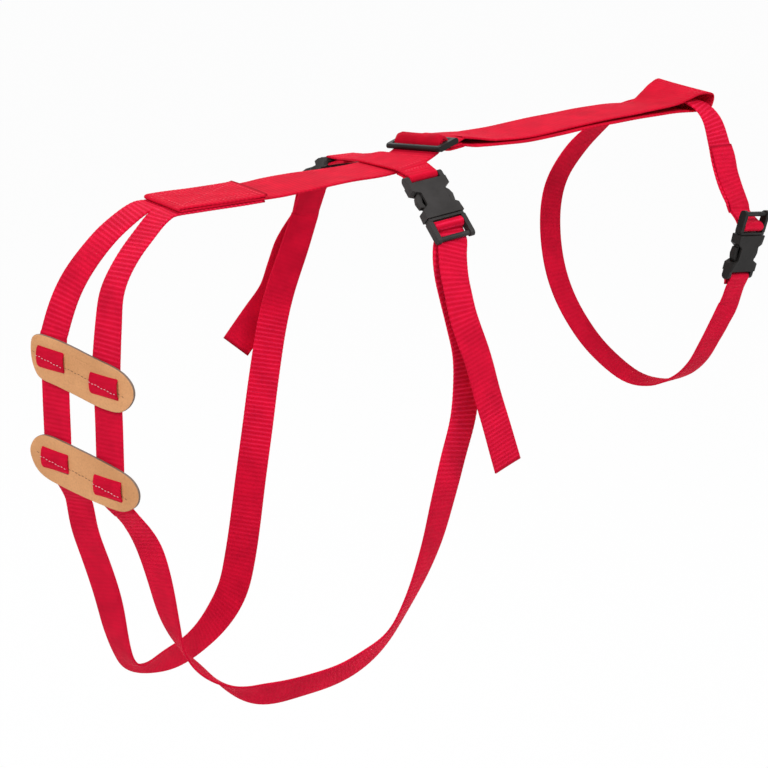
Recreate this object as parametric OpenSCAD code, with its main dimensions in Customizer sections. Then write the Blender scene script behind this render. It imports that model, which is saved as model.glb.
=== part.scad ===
// Body harness of ribbed webbing: a wide back strap with a neck loop at one end, two rear straps
// joined by leather tabs, and side release buckles on both flanks and on the collar.
// +X runs along the back to the neck, +Y is the far side and +Z is up. The origin is on the
// underside of the back strap, below the crossing of the cross strap.

/* [Webbing] */
// Width of the narrow straps
strap_w = 25; // [20:1:30]
// Thickness of the narrow straps
strap_t = 1.6; // [1.4:0.1:2.2]
// Width of the back strap
back_w = 50; // [46:1:56]
// Thickness of the back strap
back_t = 1.6; // [1.4:0.1:2.2]
// Air between two plies that lie on each other
ply_gap = 0.25; // [0.2:0.05:0.5]

/* [Back strap] */
// From the crossing back to the tail end
tail_len = 197; // [180:1:230]
// Length of the end that is folded over and sewn down
fold_len = 72; // [60:1:90]
// From the crossing forward to the fold at the neck
neck_len = 305; // [295:1:330]
// Height of the neck end over the crossing
neck_rise = 29; // [24:1:34]
// Room for the collar between the two layers at the neck
neck_gap = 15; // [12:1:18]

/* [Rear straps] */
// From the crossing down to the lowest run
drop = 380; // [350:5:410]
// How far each flank strap stands out from the middle
flank_out = 100; // [90:1:110]
// How far the rear straps bulge behind the crossing
rear_out = 275; // [262:1:295]
// Length of the loose tails of the flank straps
flank_tail_len = 180; // [150:1:200]

/* [Collar] */
// Height of the neck loop below the crossing
collar_drop = 210; // [195:1:230]
// Half the width of the neck loop
collar_out = 78; // [70:1:88]
// Length of the loose tail of the collar
collar_tail_len = 62; // [45:1:80]

/* [Tri-glide slider] */
// Diameter of the slider's outer bars
slider_bar_d = 4.6; // [4:0.1:5.4]
// Diameter of the slider's middle bar
slider_mid_d = 4.2; // [3.6:0.1:5]
// Width of a side arm
slider_arm_w = 4; // [3:0.2:5]
// Room beside the back strap inside the slider
slider_side_gap = 0.6; // [0.4:0.1:1.2]
// Extra height of the webbing over the middle bar
hump_rise = 2.5; // [1.5:0.1:3.5]

/* [Side release buckles] */
// Room beside a strap inside its slot
slot_clear = 0.5; // [0.3:0.1:1]
// Width of a side rail
rail_w = 3.7; // [3.4:0.1:4.5]
// Thickness of a buckle
buckle_t = 9; // [8.6:0.1:10]
// Wall of the socket above and below its cavity
socket_wall = 1.9; // [1.5:0.1:2]
// From the sewn bar to the socket's mouth
mouth_y = 36.5; // [36:0.5:40]
// Diameter of the bars that webbing turns over
bar_d = 4; // [3.4:0.1:4.4]
// From the mouth to the ladder bar
ladder_y = 6.6; // [6.5:0.1:8]
// From the ladder bar to the end bar
end_y = 11; // [10:0.25:13]
// Gap between the socket's mouth and the plug
mouth_gap = 0.4; // [0.3:0.05:0.8]
// Clearance of a prong above and below in the cavity
prong_clear = 0.3; // [0.2:0.05:0.4]

/* [Leather tabs] */
// Length of a tab
tab_len = 98; // [90:1:102]
// Height of a tab
tab_h = 31; // [29:1:36]
// Thickness of the leather
tab_t = 2.5; // [2:0.1:3]
// Distance between the two rear straps at the tabs
tab_pitch = 50; // [48:1:54]
// Height of webbing that shows between two slits
window_h = 11; // [9:0.5:12]
// Height of the upper tab's middle below the crossing
upper_tab_drop = 119; // [110:1:128]
// Height of the lower tab's middle below the crossing
lower_tab_drop = 195; // [190:1:205]

/* [Thread] */
// Width of a stitch
thread_w = 0.8; // [0.6:0.1:1]
// Length of a stitch
stitch_len = 2.6; // [2:0.1:3]
// Distance from one stitch to the next
stitch_pitch = 4; // [3.6:0.1:5]
// Distance of the tail stitching from the webbing's edges
stitch_margin = 4; // [3:0.5:6]

/* [Hidden] */

webbing_red = [0.80, 0.05, 0.16];
webbing_dark = [0.68, 0.04, 0.13];
plastic_grey = [0.24, 0.23, 0.23];
leather_tan = [0.79, 0.58, 0.40];
thread_grey = [0.80, 0.72, 0.68];

// ---- vectors, frames and smooth paths ----

function unit(v) = v / norm(v);
// A direction from its compass angle and its rise above level
function heading(yaw, rise) = [cos(rise) * cos(yaw), cos(rise) * sin(yaw), sin(rise)];
// A frame is an origin with its x, y and z directions
function frame_of(o, x, y) = let (a = unit(x), c = unit(cross(a, y))) [o, a, cross(c, a), c];
// Something that hangs from o: y runs down at a slope to the side that yaw points to, z faces outwards
function hang(o, yaw, slope, bank) = let (
        y = heading(yaw, -slope),
        z = [sin(slope) * cos(yaw), sin(slope) * sin(yaw), cos(slope)],
        x = cross(y, z)
    ) [o, x * cos(bank) + z * sin(bank), y, z * cos(bank) - x * sin(bank)];
function place(f, p) = f[0] + p[0] * f[1] + p[1] * f[2] + p[2] * f[3];
module in_frame(f)
    multmatrix([for (i = [0:2]) [f[1][i], f[2][i], f[3][i], f[0][i]]]) children();

// Catmull-Rom through rows of any length
function between(a, b, c, d, t) =
    0.5 * (2 * b + (c - a) * t + (2 * a - 5 * b + 4 * c - d) * t * t + (3 * b - a - 3 * c + d) * t * t * t);
function smooth(rows, n) = let (last = len(rows) - 1)
    [for (i = [0:last - 1], j = [0:n - 1])
        between(rows[max(i - 1, 0)], rows[i], rows[i + 1], rows[min(i + 2, last)], j / n), rows[last]];
function arc(c, r, a0, a1, n, tall = 1) =
    [for (i = [0:n]) let (a = a0 + (a1 - a0) * i / n) [c[0] + r * cos(a), c[1] + tall * r * sin(a)]];

// A station is a point with the direction in which the webbing's width lies.
// A row is x, y, z, then the width's compass angle and rise.
function station(row) = concat([row[0], row[1], row[2]], heading(row[3], row[4]));
function stations(rows, n) = [for (r = smooth(rows, n)) station(r)];
// Stations in a frame, from points in its y-z plane; side is 1 or -1
function local(f, yz, side = 1) = [for (q = yz) concat(place(f, [0, q[0], q[1]]), side * f[1])];
function spot(s) = [s[0], s[1], s[2]];
function across(s) = [s[3], s[4], s[5]];

module ribbon(list, w, t) {
    n = len(list);
    corners = [[-1, -1], [1, -1], [1, 1], [-1, 1]];
    points = [for (i = [0:n - 1]) let (
            d = unit(spot(list[min(i + 1, n - 1)]) - spot(list[max(i - 1, 0)])),
            s = unit(across(list[i]) - (across(list[i]) * d) * d),
            f = cross(s, d)
        ) for (k = corners) spot(list[i]) + k[0] * w / 2 * s + k[1] * t / 2 * f];
    sides = [for (i = [0:n - 2], k = [0:3]) let (
            a = 4 * i + k,
            b = 4 * i + (k + 1) % 4
        ) each [[a, b, b + 4], [a, b + 4, a + 4]]];
    e = 4 * (n - 1);
    polyhedron(points, concat([[0, 3, 2], [0, 2, 1]], sides, [[e, e + 1, e + 2], [e, e + 2, e + 3]]), 10);
}

// ---- layout ----

// Where one run of webbing is divided into two pieces
piece_gap = 0.35;
ply = strap_t + ply_gap;
back_ply = back_t + ply_gap;
// The back strap bends upwards below the cross strap, so the cross strap bridges the bend
cross_bend = 1.3;
cross_z = back_t + ply_gap + strap_t / 2 + cross_bend;
cross_tilt = 11;

wrap_r = bar_d / 2 + ply_gap + strap_t / 2;
plug_gap_y = mouth_y + mouth_gap;
ladder_at = mouth_y + ladder_y;
end_at = ladder_at + end_y;
buckle_w = strap_w + 2 * slot_clear + 2 * rail_w;

// Each buckle hangs from its sewn bar
near_bar = [-0.5, -43, -1.7];
far_bar = [3, 70, -6];
collar_bar = [300, 6 - collar_out, -114];
near_f = hang(near_bar, -85, 46, -8);
far_f = hang(far_bar, 87, 30, 0);
collar_f = frame_of(collar_bar, heading(10, -8), [0.15, -0.17, 1]);

slider_mid_r = slider_mid_d / 2;
end_loop_r = slider_mid_r + ply_gap + back_t / 2;
hump_r = end_loop_r + back_ply;
under_r = slider_bar_d / 2 + ply_gap + back_t / 2;
bar_pitch = hump_r + under_r;
slider_reach = bar_pitch + 10;
slider_f = hang([31, 0, 14], 9, -15, 5);
slider_inner = back_w + 2 * slider_side_gap;

// ---- back strap ----

tail_z = -6.7;
tail_bank = -2;
back_under = -under_r;
function back_rows() = [
    [-tail_len, 0, tail_z, -90, tail_bank],
    [-tail_len + fold_len, 0, tail_z + 1, -90, tail_bank],
    [-100, 0, -4.5, -90, -3],
    [-75, 0, -3, -90, -2],
    [-50, 0, -2.5, -90, 0],
    [-25, 0, -1.6, -90, 0],
    [-12, 0, -0.6, -90, 0],
    [0, 0, back_t / 2, -89, 1]];
module back_strap() color(webbing_red)
    ribbon(concat(stations(back_rows(), 4), local(slider_f, [[-slider_reach - 4, back_under - 1.2], [-slider_reach - piece_gap, back_under - 0.9]])),
        back_w, back_t);

// The sewn end lies on top of the tail, turned over at its end
function tail_line(x, lift) = [x, 0, tail_z + (x + tail_len) / fold_len + lift, -90, tail_bank];
module tail_fold() color(webbing_red)
    ribbon([for (k = [0:4]) station(tail_line(-tail_len + fold_len * k / 4, back_ply))], back_w, back_t);

module back_hump() color(webbing_red)
    ribbon(local(slider_f, concat(
        [[-slider_reach, back_under - 0.9], [-slider_reach + 2, back_under - 0.8]],
        [for (q = arc([-bar_pitch, 0], under_r, -90, 0, 5)) q],
        [for (q = arc([0, 0], hump_r, 165, 15, 10, 1 + hump_rise / hump_r)) q],
        [for (q = arc([bar_pitch, 0], under_r, 180, 270, 5)) q],
        [[slider_reach, back_under]])), back_w, back_t);

// Upper layer, the fold at the neck and the lower layer
neck_yaw = -70;
function neck_rows() = [
    [84, 0, 14, -90, 1],
    [109, 0, 13.8, -90, -1],
    [135, 0, 15.7, -90, -2],
    [175, -2, 19, -90, -1],
    [225, -4, 22.4, -90, 0],
    [neck_len - 48, -5, 23.4, -86, 4],
    [neck_len - 30, -4, neck_rise - 0.5, -78, 0],
    [neck_len - 16, -1, neck_rise + 3.5, -72, -4],
    [neck_len - 4, 2, neck_rise + 4.5, neck_yaw, -9],
    [neck_len + 3, 4, neck_rise - 1, neck_yaw, -9],
    [neck_len - 3, 3, neck_rise + 3.9 - neck_gap, neck_yaw, -5],
    [neck_len - 18, -1, neck_rise + 4.4 - neck_gap, -74, -3],
    [neck_len - 45, -4, 18.6, -86, 1],
    [225, -4, 18.6, -90, 0],
    [175, -2, 16.1, -90, 0],
    [125, 0, 12, -90, 0],
    [88, 0, 11.2, -90, 0],
    [66, 1, 10.6, -87, 1]];
end_ply_z = back_under - 2 * back_ply;
// How far the lower layer drops by the time that it clears the slider
end_droop = 1.8;
module neck_loop() color(webbing_red)
    ribbon(concat(
        local(slider_f, [[slider_reach + 1.5 * piece_gap, back_under], [slider_reach + 5, back_under]]),
        stations(neck_rows(), 3),
        local(slider_f, [[slider_reach + 3, end_ply_z - end_droop - 0.8], [slider_reach + 2 * piece_gap, end_ply_z - end_droop - 0.2]])), back_w, back_t);

// The end of the lower layer goes round the slider's middle bar and back on top of itself
module slider_end_loop() color(webbing_dark)
    ribbon(local(slider_f, concat(
        [[slider_reach, end_ply_z - end_droop], [bar_pitch, end_ply_z]],
        [[bar_pitch / 2, end_ply_z + 1], [0.5, -end_loop_r - 1.2]],
        arc([0, 0], end_loop_r, 235, 0, 12),
        [[end_loop_r + 0.3, -2.6], [bar_pitch - 3.6, end_ply_z + 3.2]],
        [[bar_pitch, end_ply_z + back_ply], [slider_reach, end_ply_z + back_ply - end_droop + 0.2]])), back_w - 1, back_t);

module bar(d, length) rotate([0, 90, 0]) cylinder(h = length, d = d, center = true, $fn = 32);
module back_slider() color(plastic_grey) in_frame(slider_f) {
    for (s = [-1, 1]) {
        translate([0, s * bar_pitch, 0]) bar(slider_bar_d, slider_inner + 1);
        translate([s * (slider_inner + slider_arm_w) / 2, 0, 0])
            union() {
                cube([slider_arm_w, 2 * bar_pitch, slider_bar_d], center = true);
                for (e = [-1, 1]) translate([0, e * bar_pitch, 0]) bar(slider_bar_d, slider_arm_w);
            }
    }
    bar(slider_mid_d, slider_inner + 1);
}

// ---- cross strap ----

cross_rows = [
    [0, -35, cross_z - 1.2, 0, 9],
    [0, -27, cross_z + 0.5, 0, cross_tilt],
    [0, -12, cross_z + 0.4, 0, cross_tilt],
    [0, 0, cross_z + 0.1, 0, cross_tilt],
    [0, 25, cross_z - 0.7, 0, 9],
    [2, 42, cross_z - 3.8, 0, 4],
    [4, 58, cross_z - 6.4, -2, 2]];
lower_drop = 1.2 * ply;
near_sewn = [[0, -28, cross_z - 0.2 - lower_drop, 0, cross_tilt], [0, -35, cross_z - 1.6 - lower_drop, 0, 9]];
far_sewn = [[4, 58, cross_z - 6.4 - lower_drop, -2, 2], [2, 44, cross_z - 4.2 - lower_drop, 0, 4]];
module cross_strap() color(webbing_red)
    ribbon(concat(
        [for (r = near_sewn) station(r)],
        local(near_f, arc([0, 0], wrap_r, -80, 150, 9), -1),
        stations(cross_rows, 4),
        local(far_f, arc([0, 0], wrap_r, 140, -90, 9)),
        [for (r = far_sewn) station(r)]), strap_w, strap_t);

// ---- leather tabs ----

tab_yaw = -68;
tab_tilt = -14;
function tab_frame(down) = frame_of([-rear_out + 7, 0, -down], heading(tab_yaw, tab_tilt), [0, 0, 1]);
upper_f = tab_frame(upper_tab_drop);
lower_f = tab_frame(lower_tab_drop);
strap_lean = tan(tab_tilt);
tab_step = 5;
behind_z = -ply_gap - strap_t / 2;
front_z = tab_t + ply_gap + strap_t / 2;
slit_run = front_z - behind_z + 1;
slit_h = slit_run + 0.6;
slit_y = window_h / 2 + slit_run / 2;
// A rear strap weaves out through one slit and back through the other; step is how far it leans away below
function weave(f, side, step) = [for (q = [
        [tab_h / 2 + 2, behind_z, 0], [slit_y + slit_run / 2, behind_z, 0], [slit_y - slit_run / 2, front_z, 0],
        [0, front_z, 0], [slit_run / 2 - slit_y, front_z, 0], [-slit_y - slit_run / 2, behind_z, 0],
        [-tab_h / 2 - 2, behind_z - step, step]])
    concat(place(f, [side * tab_pitch / 2 + q[0] * strap_lean + q[2], q[0], q[1]]), heading(tab_yaw, 0))];

module tab(f) color(leather_tan) in_frame(f) difference() {
    linear_extrude(tab_t) hull() for (s = [-1, 1])
        translate([s * (tab_len - tab_h) / 2, 0]) circle(d = tab_h, $fn = 48);
    for (side = [-1, 1], up = [-1, 1])
        translate([side * tab_pitch / 2 + up * slit_y * strap_lean, up * slit_y, tab_t / 2])
            rotate([0, 0, -tab_tilt]) cube([strap_w + 4 * slot_clear, slit_h, 2 * tab_t], center = true);
}
module upper_tab() tab(upper_f);
module lower_tab() tab(lower_f);

// ---- rear straps ----

sewn_z = tail_z - back_ply - 0.2;
tail_side = strap_w / 2 + 0.15;
function sewn_end(side) = [
    [-tail_len + fold_len - 8, side * tail_side, sewn_z + 0.9 + side * 0.5, -90, tail_bank],
    [-tail_len + fold_len / 2, side * tail_side, sewn_z + 0.5 + side * 0.5, -90, tail_bank],
    [-tail_len, side * tail_side, sewn_z + side * 0.5, -90, tail_bank]];
far_top = [
    [-tail_len - 11, 12, -8, -90, -5],
    [-218, 14, -15, -84, -4],
    [-231, 16, -24, -79, -2],
    [-243, 18, -36, -76, 0],
    [-254, 20, -49, -74, 0],
    [-263, 22, -64, -72, 0],
    [-270, 23, -80, -70, 0],
    [-rear_out, 23.5, -upper_tab_drop + 24, -70, 0]];
near_top = [
    [-tail_len - 8, -12, -9, -90, -5],
    [-217, -14, -20, -90, -4],
    [-232, -17, -32, -88, -2],
    [-245, -20, -47, -84, 0],
    [-253, -22, -60, -79, 0],
    [-255, -23, -75, -74, 0],
    [-257, -23.5, -upper_tab_drop + 29, -71, 0]];
far_low = [
    [-261, 22, -lower_tab_drop - 28, -66, 0],
    [-258, 22, -247, -64, 0],
    [-249, 21, -276, -62, 0],
    [-241, 20, -308, -64, 0],
    [-234, 20, -338, -74, 3],
    [-220, 21, -360, -96, 28],
    [-193, 28, -372, -124, 56],
    [-163, 37, -368, -153, 54],
    [-135, 47, -357, -178, 34],
    [-111, 59, -341, -194, 16],
    [-95, 72, -318, -199, 2],
    [-82, 84, -292, -199, 0],
    [-70, 95, -263, -199, 0],
    [-57, flank_out + 5, -228, -199, 0],
    [-47, flank_out + 12, -196, -198, 0],
    [-36, flank_out + 17, -155, -195, 0],
    [-25, flank_out + 20, -123, -191, 0]];
near_low = [
    [-245, -26.5, -lower_tab_drop - 35, -76, 0],
    [-233, -28, -248, -80, 0],
    [-223, -30, -283, -80, 0],
    [-218, -32, -310, -88, 0],
    [-212, -35, -334, -104, 2],
    [-197, -39, -353, -118, 8],
    [-174, -44, -371, -124, 36],
    [-150, -50, -drop, -125, 60],
    [-119, -56, 1 - drop, -125, 58],
    [-91, -61, -375, -125, 56],
    [-69, -66, -365, -125, 52],
    [-50, -72, -348, -127, 36],
    [-36, -79, -320, -146, 10],
    [-24, -86, -284, -162, 2],
    [-16, -92, -244, -172, 0],
    [-9, 4 - flank_out, -208, -176, 0],
    [-1, 1 - flank_out, -172, -177, 0],
    [1, 1 - flank_out, -130, -178, 0],
    [-3, 4 - flank_out, -104, -178, 0]];

module rear_strap(sewn, top, side, low) color(webbing_red)
    ribbon(concat(
        [for (r = sewn) station(r)],
        stations(top, 3),
        weave(upper_f, side, 0),
        weave(lower_f, side, tab_step),
        stations(low, 3)), strap_w, strap_t);
module far_rear_strap() rear_strap(sewn_end(1), far_top, -1, far_low);
module near_rear_strap() rear_strap(sewn_end(-1), near_top, 1, near_low);

// ---- webbing at the ladder bars ----

end_under = -bar_d / 2 - ply_gap - strap_t / 2;
// Under the end bar and up to the slot before the ladder bar; a slack strap leans back from the end bar
function ladder_in(lean) = [[end_at - 0.2 * lean, end_under - ply - 1.7 - lean],
    [ladder_at + 4, end_under - ply - 1 - 0.3 * lean], [ladder_at, end_under - ply + 0.2]];
// It starts a little past the end of the strap's last rows, in line with them
function onward(rows, far) = let (k = len(rows) - 1, step = rows[k] - rows[k - 1], way = [step[0], step[1], step[2]])
    rows[k] + far / norm(way) * [way[0], way[1], way[2], 0, 0];
module strap_end(f, strap, rows, side, lean = 0) color(webbing_dark)
    ribbon(concat([station(onward(strap, 1.5 * piece_gap))], stations(concat([onward(strap, 5)], rows), 3),
        local(f, ladder_in(lean), side)), strap_w, strap_t);
module near_strap_end() strap_end(near_f, near_low, [[-8, -92, -80, -178, 0], [-11, -84, -60, -178, 0], [-7, -77, -53, -178, 0]], 1);
module far_strap_end() strap_end(far_f, far_low, [[-8, flank_out + 22, -86, -186, 0], [3, flank_out + 23, -60, -183, 0]], -1);

// Over the ladder bar, under the end bar and on to the loose end
function ladder_out(f, side, lean) = local(f, concat(
    [[ladder_at - 2 * piece_gap, end_under - ply + 0.7], [ladder_at - wrap_r + 0.2, -2.4]],
    arc([ladder_at, 0], wrap_r, 170, 0, 9),
    [[ladder_at + wrap_r + 1, -2.5 - 0.2 * lean], [end_at - 0.2 * lean, end_under - 0.9 * lean]],
    [[end_at + 5 - 0.2 * lean, end_under - 1.4 - lean]]), side);
module loose_tail(f, rows, side, lean = 0) color(webbing_red)
    ribbon(concat(ladder_out(f, side, lean), stations(rows, 3)), strap_w, strap_t);
tail_step = flank_tail_len / 6;
near_tail_rows = [
    [-6.5, -89, -56, -176, 0],
    [-9, -97, -52 - tail_step / 2, -176, 0],
    [-7, -106, -55 - 1.4 * tail_step, -178, 0],
    [2, -111, -55 - 2.4 * tail_step, -177, 0],
    [10, -114, -55 - 3.4 * tail_step, -176, 0],
    [19, -116, -55 - 4.4 * tail_step, -178, 0],
    [28, -116, -52 - 5.4 * tail_step, -180, 0]];
far_tail_rows = [
    [7, 130, -50 - tail_step / 2, -186, 0],
    [-6, 133, -55 - tail_step, -190, 0],
    [-13, 134, -55 - 1.6 * tail_step, -194, 0],
    [-22, 134, -55 - 2.3 * tail_step, -196, 2],
    [-39, 134, -56 - 2.9 * tail_step, -198, 4],
    [-59, 133, -56 - 3.6 * tail_step, -198, 8]];
module near_tail() loose_tail(near_f, near_tail_rows, 1);
module far_tail() loose_tail(far_f, far_tail_rows, -1);

// ---- collar ----

collar_lean = 13;
collar_rows = [
    [296, 10 - collar_out, -139, 4, 0],
    [290, 12 - collar_out, -151, 4, 0],
    [284, 17 - collar_out, -168, 4, 0],
    [281, 28 - collar_out, -189, 5, 0],
    [275, -36, 6 - collar_drop, 6, 0],
    [264, -18, -2 - collar_drop, 7, 0],
    [251, 2, 2 - collar_drop, 9, 0],
    [236, 25, -188, 10, 0],
    [225, 44, -162, 10, 0],
    [220, collar_out - 17, -132, 10, 0],
    [220, collar_out - 6, -100, 10, 0],
    [224, collar_out, -71, 9, 0],
    [232, collar_out, -46, 7, 0],
    [245, collar_out - 8, -22, 2, 0],
    [260, 56, 0, 6, 0],
    [269, 42, 15, 17, -2],
    [278, 23, 23.4, 20, -2],
    [286, 0, 24.8, 20, -1],
    [293, -21, 23.4, 20, -4],
    [300, -32.5, 11.5, 12, -4],
    [303, -38, -8, 5, -2],
    [301, -46, -24, 4, 0]];
module collar_strap() color(webbing_red)
    ribbon(concat(
        local(collar_f, [[-17, -1], [-9, -1.3]]),
        local(collar_f, arc([0, 0], wrap_r, -100, 100, 8)),
        local(collar_f, [[-9, 1.3], [-17, 1]]),
        stations(collar_rows, 3)), strap_w, strap_t);
module collar_strap_end() strap_end(collar_f, collar_rows, [[301, -53, -39, 6, -2], [304, -60, -52, 8, -4]], 1, collar_lean);
collar_more = collar_tail_len - 36;
collar_tail_rows = [
    [304, -59.5, -42, 8, -4],
    [301, -57, -31, 7, 0],
    [300, -60 + 0.3 * collar_more, -28 + 0.4 * collar_more, 6, 0],
    [300, -60 + 0.58 * collar_more, -28 + 0.75 * collar_more, 6, 0]];
module collar_tail() loose_tail(collar_f, collar_tail_rows, 1, collar_lean);

// ---- side release buckles ----

cavity_t = buckle_t - 2 * socket_wall;
cavity_w = buckle_w - 6;
waist_w = 21;
window_lo = 13;
window_hi = mouth_y - 9;
rail_d = buckle_t - 2;
lug_back = 1.5;
plug_plate_t = 2;

module rail(y0, y1) {
    for (s = [-1, 1]) translate([s * (buckle_w - rail_w) / 2, 0, 0]) {
        translate([0, (y0 + y1) / 2, 0]) cube([rail_w, y1 - y0, rail_d], center = true);
        translate([0, y0, 0]) bar(rail_d, rail_w);
    }
}
// From the sewn bar to the socket's body
body_start = 5.3;
module socket(f) color(plastic_grey) in_frame(f) {
    rail(lug_back, window_lo - 3);
    bar(bar_d, buckle_w - rail_w);
    difference() {
        translate([0, 0, -buckle_t / 2]) linear_extrude(buckle_t) polygon([for (s = [1, -1]) each
            (s > 0 ? [[buckle_w / 2, body_start], [buckle_w / 2, window_lo - 1], [waist_w / 2, window_lo + 2],
                [waist_w / 2, window_hi - 2], [buckle_w / 2 - 0.7, window_hi + 1.5], [buckle_w / 2, mouth_y]]
            : [[-buckle_w / 2, mouth_y], [0.7 - buckle_w / 2, window_hi + 1.5], [-waist_w / 2, window_hi - 2],
                [-waist_w / 2, window_lo + 2], [-buckle_w / 2, window_lo - 1], [-buckle_w / 2, body_start]])]);
        translate([-cavity_w / 2, window_lo - 2, -cavity_t / 2]) cube([cavity_w, mouth_y, cavity_t]);
    }
}
module plug(f) color(plastic_grey) in_frame(f) {
    translate([-buckle_w / 2 + 1, plug_gap_y, -3.3]) cube([buckle_w - 2, plug_plate_t, 6.6]);
    for (s = [-1, 1]) translate([s * (buckle_w - rail_w) / 2, (plug_gap_y + end_at) / 2 + 1, 0])
        cube([rail_w, end_at - plug_gap_y - 2, rail_d - 1], center = true);
    for (s = [-1, 1]) translate([s * (buckle_w - rail_w) / 2, end_at, 0]) bar(rail_d - 1, rail_w);
    translate([0, ladder_at, 0]) bar(bar_d, buckle_w - rail_w);
    translate([0, end_at, 0]) bar(bar_d, buckle_w - rail_w);
    translate([-2, window_lo + 7, -1.5]) cube([4, plug_gap_y - window_lo - 6, 3]);
}
prong_root = mouth_y;
prong_t = cavity_t - 2 * prong_clear;
prong_x = 11;
catch_y = window_hi - 1.2;
module prong(f, side) color(plastic_grey) in_frame(f) mirror([side < 0 ? 1 : 0, 0, 0])
    translate([0, 0, -prong_t / 2]) linear_extrude(prong_t) polygon([
        [prong_x - 1.6, prong_root], [prong_x + 1.6, prong_root], [prong_x + 2, catch_y + 3],
        [prong_x + 2.2, catch_y], [buckle_w / 2 - 1.1, catch_y - 0.4], [buckle_w / 2 - 0.2, catch_y - 6],
        [buckle_w / 2 - 1.6, catch_y - 10], [prong_x + 1.5, window_lo + 0.5], [prong_x - 0.8, window_lo],
        [prong_x - 1.4, window_lo + 3], [prong_x + 1.2, window_lo + 9], [prong_x, catch_y], [prong_x - 1.4, catch_y + 6]]);

module near_socket() socket(near_f);
module near_plug() plug(near_f);
module near_prong_a() prong(near_f, 1);
module near_prong_b() prong(near_f, -1);
module far_socket() socket(far_f);
module far_plug() plug(far_f);
module far_prong_a() prong(far_f, 1);
module far_prong_b() prong(far_f, -1);
module collar_socket() socket(collar_f);
module collar_plug() plug(collar_f);
module collar_prong_a() prong(collar_f, 1);
module collar_prong_b() prong(collar_f, -1);

// ---- stitching ----

module stitch(length) cube([length, thread_w, thread_w], center = true);
// A row of stitches from one point to another, in the plane of its frame
module stitch_row(a, b) {
    count = floor(norm(b - a) / stitch_pitch);
    for (k = [0:count]) translate([each (a + (b - a) * k / count), 0])
        rotate([0, 0, atan2(b[1] - a[1], b[0] - a[0])]) stitch(stitch_len);
}
tail_top = frame_of([-tail_len, 0, tail_z + back_ply + back_t / 2 + thread_w / 2 + 0.1],
    [fold_len, 0, 1], heading(90, -tail_bank));
module tail_stitches() color(webbing_dark) in_frame(tail_top) {
    lo = stitch_margin;
    hi = fold_len - stitch_margin;
    side = back_w / 2 - stitch_margin;
    for (s = [-1, 1]) {
        stitch_row([lo, s * side], [hi, s * side]);
        stitch_row([lo + 4, s * (side - 4)], [hi - 4, 4 * s - s * side]);
    }
    for (x = [lo, hi]) stitch_row([x, 4 - side], [x, side - 4]);
}
module tab_stitches() color(thread_grey) for (f = [upper_f, lower_f]) in_frame(f) {
    reach = tab_len / 2 - 6;
    count = floor(2 * reach / stitch_pitch);
    // None where the thread goes down over the webbing's edge
    for (k = [0:count]) let (x = -reach + 2 * reach * k / count, past_edge = abs(abs(x) - tab_pitch / 2) - strap_w / 2)
        if (abs(past_edge) > stitch_len / 2 + 0.3)
            translate([x, 0, (past_edge < 0 ? front_z + strap_t / 2 : tab_t) + thread_w / 2 + 0.1]) stitch(stitch_len);
}

back_strap();
tail_fold();
back_hump();
neck_loop();
slider_end_loop();
back_slider();
cross_strap();
near_rear_strap();
near_strap_end();
near_tail();
far_rear_strap();
far_strap_end();
far_tail();
collar_strap();
collar_strap_end();
collar_tail();
upper_tab();
lower_tab();
tail_stitches();
tab_stitches();
near_socket();
near_plug();
near_prong_a();
near_prong_b();
far_socket();
far_plug();
far_prong_a();
far_prong_b();
collar_socket();
collar_plug();
collar_prong_a();
collar_prong_b();
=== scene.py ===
# Webbing body harness: ribbed red webbing, leather tabs and dark buckles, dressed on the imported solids.
# Lengths are in millimetres and MM turns them into metres; only the camera's distance, the lamps and the floor
# are given in metres.
import math

import bmesh
import bpy
import numpy as np
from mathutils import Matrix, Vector


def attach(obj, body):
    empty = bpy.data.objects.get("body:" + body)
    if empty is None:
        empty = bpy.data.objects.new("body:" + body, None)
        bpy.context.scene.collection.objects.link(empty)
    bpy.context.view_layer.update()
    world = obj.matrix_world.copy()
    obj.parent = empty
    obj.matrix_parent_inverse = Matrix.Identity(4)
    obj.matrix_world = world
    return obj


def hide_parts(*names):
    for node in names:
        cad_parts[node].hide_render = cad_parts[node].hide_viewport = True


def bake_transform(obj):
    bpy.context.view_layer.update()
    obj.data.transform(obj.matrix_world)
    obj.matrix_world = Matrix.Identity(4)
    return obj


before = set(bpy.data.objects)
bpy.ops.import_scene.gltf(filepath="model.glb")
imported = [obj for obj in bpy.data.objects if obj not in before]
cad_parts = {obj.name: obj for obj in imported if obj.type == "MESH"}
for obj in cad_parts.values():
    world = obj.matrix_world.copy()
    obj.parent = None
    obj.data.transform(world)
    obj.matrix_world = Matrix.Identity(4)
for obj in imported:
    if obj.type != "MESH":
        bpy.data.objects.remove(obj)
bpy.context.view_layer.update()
MM = 0.001


def add_object(name, data):
    obj = bpy.data.objects.new(name, data)
    bpy.context.collection.objects.link(obj)
    return obj


# ---- camera and light ----

VIEW_TURN, VIEW_RISE, VIEW_DISTANCE, VIEW_LENS = -35, 16.5, 1.72, 103.125
VIEW_AIM = (-4.6, 0, -172.6)


def aim(obj, place, ahead):
    """Puts a camera or lamp at a place, looking along a direction."""
    obj.location = place
    obj.rotation_mode = "QUATERNION"
    obj.rotation_quaternion = ahead.to_track_quat("-Z", "Y")


def make_camera():
    data = bpy.data.cameras.new("camera")
    data.lens, data.clip_start, data.clip_end = VIEW_LENS, 0.05, 50
    turn, rise = math.radians(VIEW_TURN), math.radians(VIEW_RISE)
    back = Vector((math.sin(turn) * math.cos(rise), -math.cos(turn) * math.cos(rise), math.sin(rise)))
    camera = add_object("camera", data)
    aim(camera, Vector(VIEW_AIM) * MM + back * VIEW_DISTANCE, -back)
    bpy.context.scene.camera = camera


make_camera()
scene = bpy.context.scene
scene.view_settings.view_transform = "Standard"


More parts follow.
